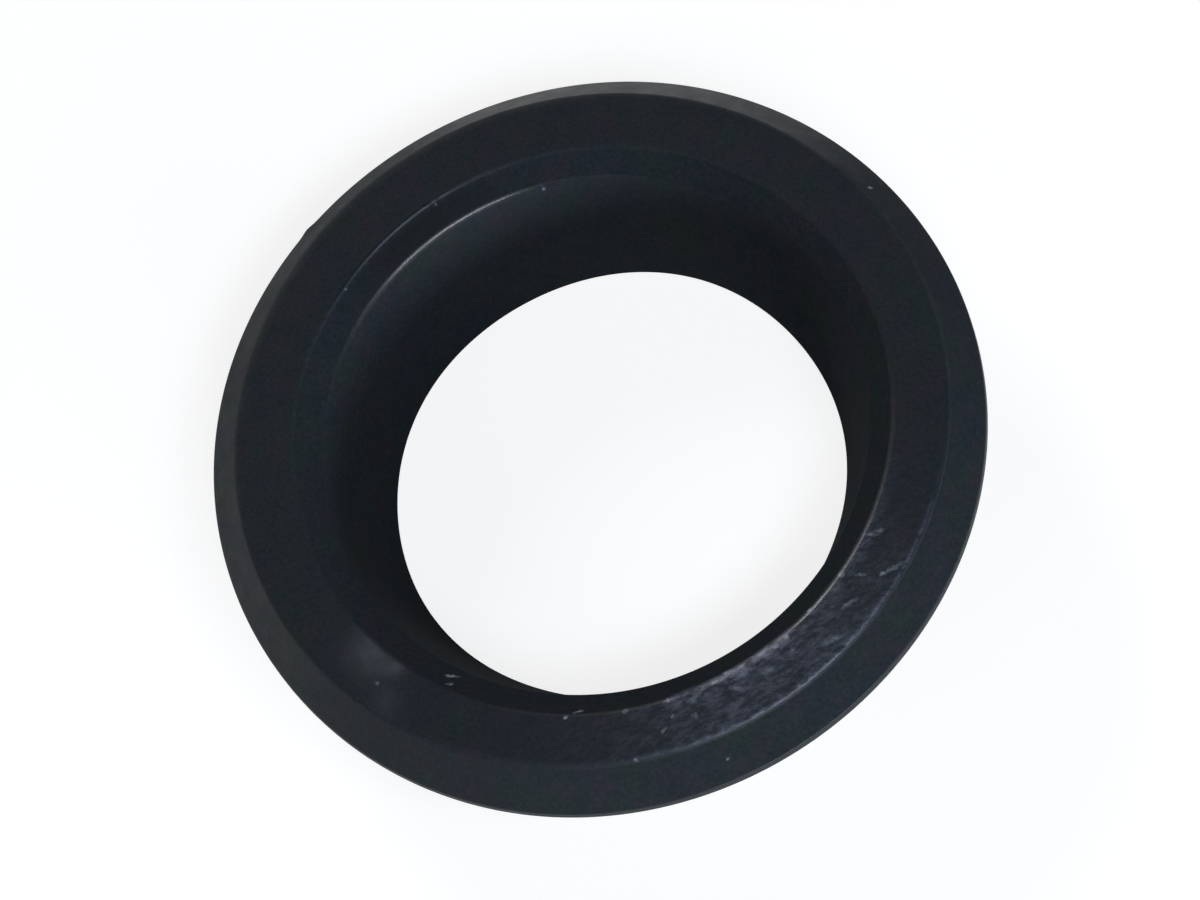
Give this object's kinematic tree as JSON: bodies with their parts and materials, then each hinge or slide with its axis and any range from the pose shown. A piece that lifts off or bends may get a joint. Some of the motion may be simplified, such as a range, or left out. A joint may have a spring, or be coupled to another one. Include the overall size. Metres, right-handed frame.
{
  "type": "pipe seal",
  "caption": "Moulded rubber pipe seal: a bevelled collar on a short tapered spigot, with a funnel bore that grips a waste pipe.",
  "frame": {"origin": "on the ring's axis, level with the back face that the seal rests on", "axes": "+Z along the ring's axis, from the back face to the front face with the lead-in; +X and +Y lie across the ring"},
  "size_m": [0.0768, 0.0768, 0.0172],
  "materials": {
    "rubber": "black moulded rubber with a dull sheen"
  },
  "bodies": {
    "root": {"seal_ring": "rubber"}
  },
  "joints": []
}
